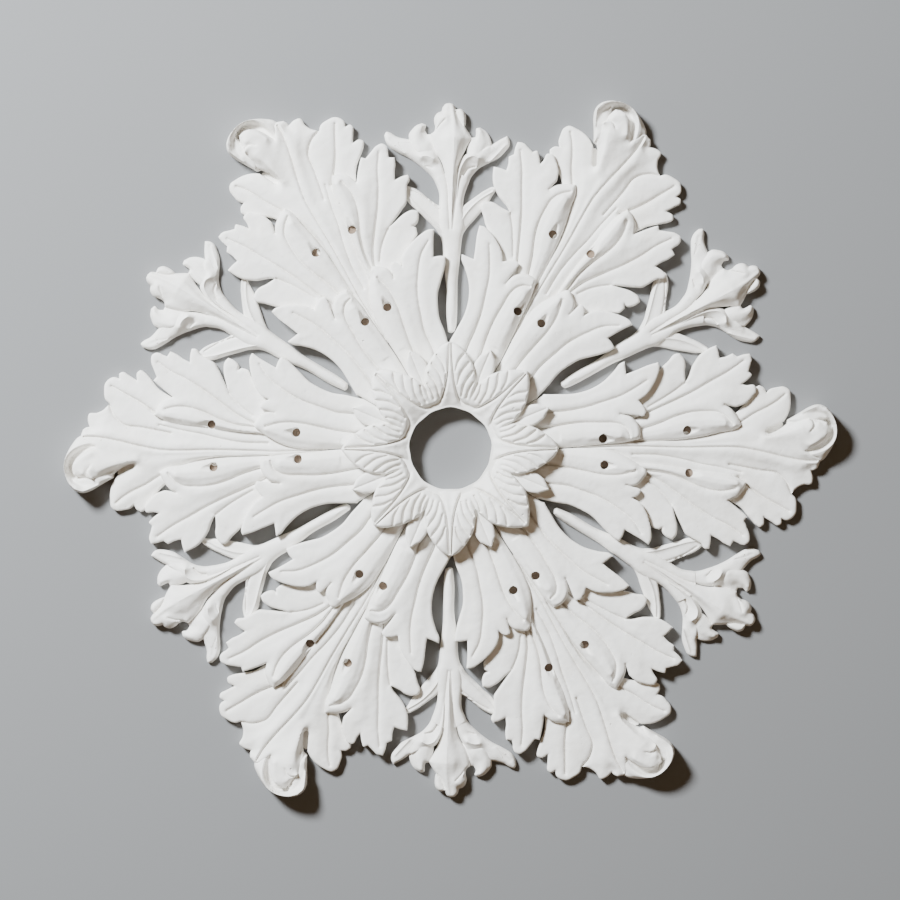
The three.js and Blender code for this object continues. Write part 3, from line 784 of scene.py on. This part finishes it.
small_right_in = sprig([(290.5, -55.5), (292.5, -52), (289, -42), (283, -33), (276, -23.5), (270, -16.5),
                        (258, -9), (226, -9)])
small_right = plate(
    joined(small_right_in[::-1][:-1], small_right_out[::-1][:-1]),
    [line(small_right_out, (4, 4), (3, 3), 3),
     line(small_right_in, (4, 4), (4, 4), 1.8),
     line(sprig([(240, -10), (256, -16.5), (268, -25), (279, -37), (287, -50)]), (11, 8), (-3, -3), 4)])

petal_left_out = sprig([(240, 4), (256, 8), (270, 8.2), (286, 8.8), (295, 11.4), (304, 16.8), (311, 24),
                        (318.6, 33), (325.7, 43.6), (331, 54), (338, 64.5), (343.6, 68), (349.5, 69.3)])
petal_left_tip = sprig([(349.5, 69.3), (353.5, 67), (352.5, 62.5), (348.5, 56), (345, 42)])
petal_left_in = sprig([(345, 42), (341, 30), (336, 18), (322, 8), (300, 1), (270, -2.5), (240, -3)])
petal_left = plate(
    joined(petal_left_out[:-1], petal_left_tip[:-1], petal_left_in[:-1]),
    [line(petal_left_out, (3, 4), (9, 6), 4),
     line(petal_left_tip, (4, 4), (4, 5), 3),
     line(petal_left_in, (5, 5), (5, 7), 2.4),
     line(sprig([(331, 47.5), (338, 54), (345, 62)]), (9, 8), (1, 0.5), 2.2),
     line(sprig([(322.5, 15), (325, 20), (325.5, 25), (325, 28)]), (18, 17.5), (-4, -4), 7),
     line(sprig([(313.4, 16.5), (314.6, 20), (315, 24)]), (8, 8), (2, 2), 1.5)])
petal_right_out = sprig([(349, -66.6), (345, -68.8), (339, -69), (333, -65), (325.7, -58), (320, -47.5),
                         (313, -35), (304, -27), (293.6, -22.5), (283, -19), (270, -15), (244, -14)])
petal_right_tip = sprig([(338, -48), (344, -57), (349, -66.6)])
petal_right_in = sprig([(244, -7), (270, -9.5), (300, -10.5), (317, -13.5), (328, -20), (331.5, -30),
                        (338, -48)])
petal_right = plate(
    joined(petal_right_in[:-1], petal_right_tip[:-1], petal_right_out[:-1]),
    [line(petal_right_out, (4, 3), (4, 7), 3),
     line(petal_right_tip, (4, 4), (4, 4), 3),
     line(petal_right_in, (5, 7), (4, 5), 2),
     line(sprig([(280, -11.2), (300, -12.4), (315, -16.2), (323.5, -22.5), (325.5, -29), (323, -34.5)]),
          (11, 18), (-2, -4), 4),
     line(sprig([(276, -13.4), (295, -15.4), (306.5, -19), (313, -24.5), (314.5, -31)]), (5, 7),
          (4, 4), 1.8),
     line(sprig([(316, -43), (327, -54), (339, -65)]), (11, 8), (-2, -2), 4)])

second_left_top = sprig([(318, 20), (330, 36), (345, 42)],
                        [(350.7, 42), (356, 38.5), (360.5, 33.8), (363, 27.5)])
second_left_under = sprig([(363, 27.5), (361, 23.2), (356, 24.5), (350.7, 22)],
                          [(350.5, 17), (340, 10), (325, 10), (318, 20)])
second_left = plate(
    joined(second_left_top[:-1], second_left_under[:-1]),
    [line(second_left_top, (8, 5), (5, 4), 2.6),
     line(second_left_under, (4, 5), (3, 3), 4),
     line(sprig([(333, 30), (345, 34), (354, 32), (358, 29)]), (14, 11), (-0.5, -0.5), 5)])
second_right_top = sprig([(316, -26), (330, -22), (347, -26.5)],
                         [(347.5, -31), (352.5, -32), (357, -32.3), (358.2, -36.8)])
second_right_under = sprig([(358.2, -36.8), (354, -43), (347, -47.5), (340, -49.3)],
                           [(330, -46), (320, -38), (316, -26)])
second_right = plate(
    joined(second_right_top[:-1], second_right_under[:-1]),
    [line(second_right_top, (7, 5), (4, 4), 2.4),
     line(second_right_under, (4, 6), (3, 3), 4),
     line(sprig([(328, -31), (342, -35), (353, -36.5)]), (13, 11), (-0.5, -0.5), 5)])

bud_left = sprig([(246, -4), (275, -1.5), (300, 1), (320, 6), (333, 13.5), (343, 17), (350.7, 18)],
                 [(354, 14), (359.6, 13)], [(366, 14.3), (371, 13), (374.3, 10), (375.7, 6)],
                 [(380.5, 4.6), (384.3, 1), (385, -3)])
bud_right = sprig([(385, -3), (383.5, -7), (378, -10)],
                  [(378.5, -15), (375, -19.5), (369, -21), (363, -20.7)], [(359, -19.5)],
                  [(352, -24), (345.5, -27.5)],
                  [(335, -21), (318, -14), (300, -10.5), (275, -8), (246, -5)])
bud_rise = sprig([(254, -4.8), (285, -5.6), (310, -6.6), (330, -7.4), (346, -8)])
bud_fall = sprig([(346, -8), (360, -7.6), (372, -6.4), (382, -4.2)])
bud = plate(
    joined(bud_left[:-1], bud_right[:-1]),
    [line(bud_left, (8, 7), (3, 9), 4.5),
     line(bud_right, (7, 8), (9, 2), 4.5),
     line(bud_rise, (12, 22), (-1, -1.5), 6),
     line(bud_fall, (22, 13), (-1.5, -1), 6),
     line(sprig([(353, 13), (360, 8), (366, 2)]), (11, 16), (2, 2), 2),
     line(sprig([(359, -18.5), (366, -13.5), (375, -10)]), (9, 10), (3, 2), 2)])
sprig_plates = [stem, small_left, small_right, second_left, second_right, petal_left, petal_right, bud]
sprig_points, sprig_faces = united("lily_sprig", sprig_plates)

# %% [markdown]
# ## The ring
# Eight large petals stand round the lamp hole, each with a midrib, two fluted blades that
# start as rounded lobes beside it, and a small petal under every gap. The face between them
# falls to the hole like a dish. One petal is drawn, and the lines of all eight work on one net.

# %% Ring
PETALS = 8
PETAL_STEP = 2 * math.pi / PETALS
HOLE = 45.3
TIP = 119.5
PETAL_BACK = 20.0
DISH_RADII = [HOLE - 2, HOLE, 49, 54, 62, 72, 88, 104, 120]
DISH_HEIGHTS = [16, 18, 21.5, 25.5, 30.5, 33.8, 35.4, 34.4, 31.5]
carver = np.random.default_rng(6)


def dish(radius):
    """How high the ring's face stands at a distance from the middle."""
    return np.interp(radius, DISH_RADII, DISH_HEIGHTS)


def petal_side(side, turn, reach):
    """One half of a large petal: its margin from tip to notch, and the lines on its face.
    The fold comes down beside the midrib and turns round the lamp hole to the next petal,
    and the flutes slant from it out to the margin."""
    bulge = carver.uniform(-1.2, 1.2)
    shift = carver.uniform(-1.5, 1.5)
    margin = flowing([(TIP + reach, 0.5 * side), (114, 8.5), (107.5, 14.5 + bulge / 2),
                      (101, 19 + bulge), (95, 22.6 + bulge), (88, 25.5 + bulge),
                      (80, 27.2), (72, 28), (65.6, 27.17)])
    fold = flowing([(46.8, 19.4), (47.6, 16.5), (49.8, 13.2), (54.2, 10), (61.6, 7.2), (70, 5),
                    (80, 3.3), (96, 1.9), (115, 0.9)])
    flutes = [flowing([(56, 18), (64, 20.4), (72.5, 25.6)]),
              flowing([(57.5, 11.8), (71, 15.6), (84, 24.4)]),
              flowing([(70, 7.6), (83, 12), (94.5, 20.6)]),
              flowing([(85, 5.4), (95, 8.6), (104, 15)])]
    margin = spun(margin * [1, side], turn)
    veins = [line(margin, (-3.2, -4.2), (4.8, 5), 2.6),
             line(spun(fold * [1, side], turn), (-6.4, -2.6), (9.6, 4), 3.2)]
    for flute in flutes:
        depth = carver.uniform(0.9, 1.6)
        drawn = spun((flute + [shift, 0]) * [1, side], turn)
        veins.append(line(drawn, (-0.8 * depth, -2.2 * depth), (2.8 * depth, 3.6 * depth), 3.2))
    return margin, veins


def petal(turn):
    """The outline of one large petal from notch to notch, and all the lines on its face:
    those of its two halves, the crest of its midrib, and the line from the knob to the slit
    between it and the next petal."""
    reach = carver.uniform(-2.5, 1.0)
    left, veins_left = petal_side(1, turn, reach)
    right, veins_right = petal_side(-1, turn, reach)
    midrib_crest = spun(flowing([(56, 0), (80, 0.2), (116, 0.3)]), turn)
    knob_to_slit = spun(flowing([(53, 22), (59.5, 24.7), (65.6, 27.17)]), turn)
    between = [line(midrib_crest, (0.4, 0.8)), line(knob_to_slit, (1.5, -6), (0, 6), 2)]
    return joined(right[::-1][:-1], left[:-1]), veins_left + veins_right + between


petals_drawn = [petal(k * PETAL_STEP) for k in range(PETALS)]


def on_the_dish(places):
    """The height of the dish plus the petals' relief. A place is shaped by the petal it
    stands on and the two beside it, which are the only ones near enough to count."""
    number = np.round(np.arctan2(places[:, 1], places[:, 0]) / PETAL_STEP).astype(int) % PETALS
    heights = dish(np.linalg.norm(places, axis=1))
    for k in range(PETALS):
        here = number == k
        near = [drawn for j in (k - 1, k, k + 1) for drawn in petals_drawn[j % PETALS][1]]
        heights[here] += carved(places[here], near)
    return heights


ring_outline = np.concatenate([drawn[0] for drawn in petals_drawn])
ring_veins = [vein for drawn in petals_drawn for vein in drawn[1]]
petals = plate(ring_outline, ring_veins, back=PETAL_BACK, relief=on_the_dish)
print("petals", len(petals[1]))

small_margin = flowing([(117, 0.3), (107.5, 8.8)], [(98, 11.2), (84, 10), (62, 8)])
small_margin_right = small_margin * [1, -1]
small_crease = flowing([(70, 0), (92, 0.5), (114, 0.3)])
small_petals = []
for k in range(PETALS):
    turn = (k + 0.5) * PETAL_STEP
    small_petals.append(plate(
        spun(joined(small_margin[:-1], small_margin_right[::-1]), turn),
        [line(spun(small_margin, turn), (28, 26), (3, 3), 2),
         line(spun(small_margin_right, turn), (28, 26), (3, 3), 2),
         line(spun(small_crease, turn), (26, 29), (3, 1.5), 2.5)], back=PETAL_BACK))


# %% Foot and lamp hole
FOOT_RADIUS = 84
FOOT_SIDES = 72
FOOT_HEIGHT = 22
HOLE_SIDES = 64
BELOW_ALL = -10.0

across_foot = flowing([(-60, 0), (0, 0), (60, 0)])
ring_foot = plate(circle(FOOT_RADIUS, FOOT_SIDES), [line(across_foot, (FOOT_HEIGHT, FOOT_HEIGHT))])
hole_angle = np.arange(HOLE_SIDES) / HOLE_SIDES * 2 * math.pi
ragged = HOLE + 0.5 * np.sin(5 * hole_angle) + 0.35 * np.sin(13 * hole_angle)
across_hole = flowing([(-20, 0), (0, 0), (20, 0)])
lamp_hole = plate(circle(1, HOLE_SIDES) * ragged[:, None], [line(across_hole, (ABOVE_ALL, ABOVE_ALL))],
                  back=BELOW_ALL)
ring_points, ring_faces = united("centre_ring", [petals, ring_foot, *small_petals], cut=[lamp_hole])

# %% [markdown]
# ## Plaster
# Cast plaster is matt and white, a little warmer in one place and cooler in the next. Its
# skin has a fine grain, soft tooling marks, and a few pinholes where air was caught in the
# mould. The floors of the drilled eyes are painted dark brown as painted shade.

# %% Plaster
PLASTER_WHITE = (0.83, 0.81, 0.775, 1)
PLASTER_WARM = (0.77, 0.735, 0.68, 1)
# painted shade: the dark brown of the drilled eyes' floors stands in for the shade deep in the holes
EYE_PAINTED_SHADE = (0.17, 0.122, 0.088, 1)
FLOOR_WITHIN = 0.02 * MM
MOTTLE = 26
BLOOM = 60


def plaster():
    """Matt white plaster: one noise mottles its colour and one its roughness, and tooling
    marks, grain and pinholes tilt its surface. Where its height is that of the drill's floor
    it is painted dark brown, as painted shade deep in the eyes."""
    material = bpy.data.materials.new("cast_plaster")
    material.use_nodes = True
    nodes, links = material.node_tree.nodes, material.node_tree.links
    skin = nodes["Principled BSDF"]
    place = nodes.new("ShaderNodeTexCoord").outputs["Object"]

    def fed(node, inputs):
        """The outputs of a node, once each input has its value or another node's output."""
        for name, value in inputs.items():
            if isinstance(value, bpy.types.NodeSocket):
                links.new(value, node.inputs[name])
            else:
                node.inputs[name].default_value = value
        return node.outputs

    def noise(scale, detail):
        inputs = {"Vector": place, "Scale": scale, "Detail": detail}
        return fed(nodes.new("ShaderNodeTexNoise"), inputs)["Fac"]

    def ramp(value, low, high, first, last):
        inputs = {"Value": value, "From Min": low, "From Max": high, "To Min": first, "To Max": last}
        return fed(nodes.new("ShaderNodeMapRange"), inputs)["Result"]

    def pinholes(scale, radius):
        spots = fed(nodes.new("ShaderNodeTexVoronoi"), {"Vector": place, "Scale": scale})
        return ramp(spots["Distance"], radius / 2, radius, 0, 1)

    def bump(height, strength, distance, under=None):
        inputs = {"Height": height, "Strength": strength, "Distance": distance}
        if under:
            inputs["Normal"] = under
        return fed(nodes.new("ShaderNodeBump"), inputs)["Normal"]

    def blended(first, second, share):
        mix = nodes.new("ShaderNodeMix")
        mix.data_type = "RGBA"
        return fed(mix, {"A": first, "B": second, "Factor": share})["Result"]

    height = fed(nodes.new("ShaderNodeSeparateXYZ"), {"Vector": place})["Z"]
    # painted shade mask: true where the height is that of the drill's floor, at the bottom of the eyes
    eye_floor_test = nodes.new("ShaderNodeMath")
    eye_floor_test.operation = "COMPARE"
    eye_shade_mask = fed(eye_floor_test, {0: height, 1: DRILL_FLOOR * MM, 2: FLOOR_WITHIN})["Value"]
    mottled = blended(PLASTER_WHITE, PLASTER_WARM, ramp(noise(MOTTLE, 5), 0.45, 0.8, 0, 0.75))
    roughness = ramp(noise(BLOOM, 3), 0.3, 0.7, 0.72, 0.9)
    swells = bump(noise(38, 2), 0.5, 0.004)
    waves = bump(noise(130, 3), 0.4, 0.0014, swells)
    grain = bump(noise(1400, 4), 0.3, 0.0003, waves)
    small = bump(pinholes(75, 0.07), 0.5, 0.0006, grain)
    large = bump(pinholes(24, 0.035), 0.8, 0.0012, small)
    # the eyes' floors take the painted shade colour
    colour = blended(mottled, EYE_PAINTED_SHADE, eye_shade_mask)
    fed(skin, {"Base Color": colour, "Roughness": roughness, "Normal": large})
    return material


PLASTER = plaster()
print("material", PLASTER.name)

# %% [markdown]
# ## Castings in their places
# The leaf is turned into its six places and the sprig into the six between them. As in the
# photograph, the sprigs were not laid down equally far out. Where a sprig would run into the
# leaves beside it, it is cut back to them, and crumbs that come loose are left out. Each
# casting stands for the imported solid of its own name.

# %% Castings
SHARP = math.radians(42)
SPRIG_SLIDES = [13, 0, 4, 0, 3, 5]


def turned(points, turn):
    """Points of a solid turned about the axis of the rose."""
    return np.column_stack([spun(points[:, :2], turn), points[:, 2]])


def largest_part(points, faces):
    """The largest connected part of a net. Every corner takes the lowest number that it can
    reach along the triangles' edges, and the commonest number is the largest part's."""
    label = np.arange(len(points))
    while True:
        spread = label.copy()
        np.minimum.at(spread, faces.ravel(), np.repeat(label[faces].min(1), 3))
        spread = spread[spread]
        if np.array_equal(spread, label):
            break
        label = spread
    kept = faces[label[faces[:, 0]] == np.bincount(label[faces[:, 0]]).argmax()]
    used, kept = np.unique(kept, return_inverse=True)
    return points[used], kept.reshape(-1, 3)


def casting(name, node, points, faces, turn=0.0):
    """A finished casting: its points turned about the middle, smooth but for its sharp
    edges, in plaster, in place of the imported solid."""
    mesh = mesh_of(name, turned(points, turn), faces)
    mesh.polygons.foreach_set("use_smooth", np.ones(len(mesh.polygons), bool))
    mesh.set_sharp_from_angle(angle=SHARP)
    mesh.materials.append(PLASTER)
    piece = placed(name, mesh)
    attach(piece, "root")
    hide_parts(node)
    return piece


# %% Lay them down
beside = [(turned(leaf_points, side * HALF_LEAF), leaf_faces) for side in (-1, 1)]
fitted = {}
for slide in sorted(set(SPRIG_SLIDES)):
    whole = (sprig_points + [slide, 0, 0], sprig_faces)
    fitted[slide] = largest_part(*united(f"lily_sprig_{slide}", [whole], cut=beside))

LEAF_STEP = 2 * HALF_LEAF
for i, slide in enumerate(SPRIG_SLIDES):
    number = i + 1
    casting(f"carved_leaf_{number}", f"acanthus_leaf_{number}", leaf_points, leaf_faces, i * LEAF_STEP)
    casting(f"carved_sprig_{number}", f"lily_sprig_{number}", *fitted[slide], (i + 0.5) * LEAF_STEP)
casting("carved_ring", "centre_ring", ring_points, ring_faces)
sprig_total = sum(len(fitted[slide][1]) for slide in SPRIG_SLIDES)
print("triangles", 6 * len(leaf_faces) + sprig_total + len(ring_faces))

# %% [markdown]
# ## Finish
# The imported solids stay in the scene, hidden, beside the carved castings. The carved rose
# has to stay inside the box of the imported solids.

# %% Finish
bpy.context.view_layer.update()
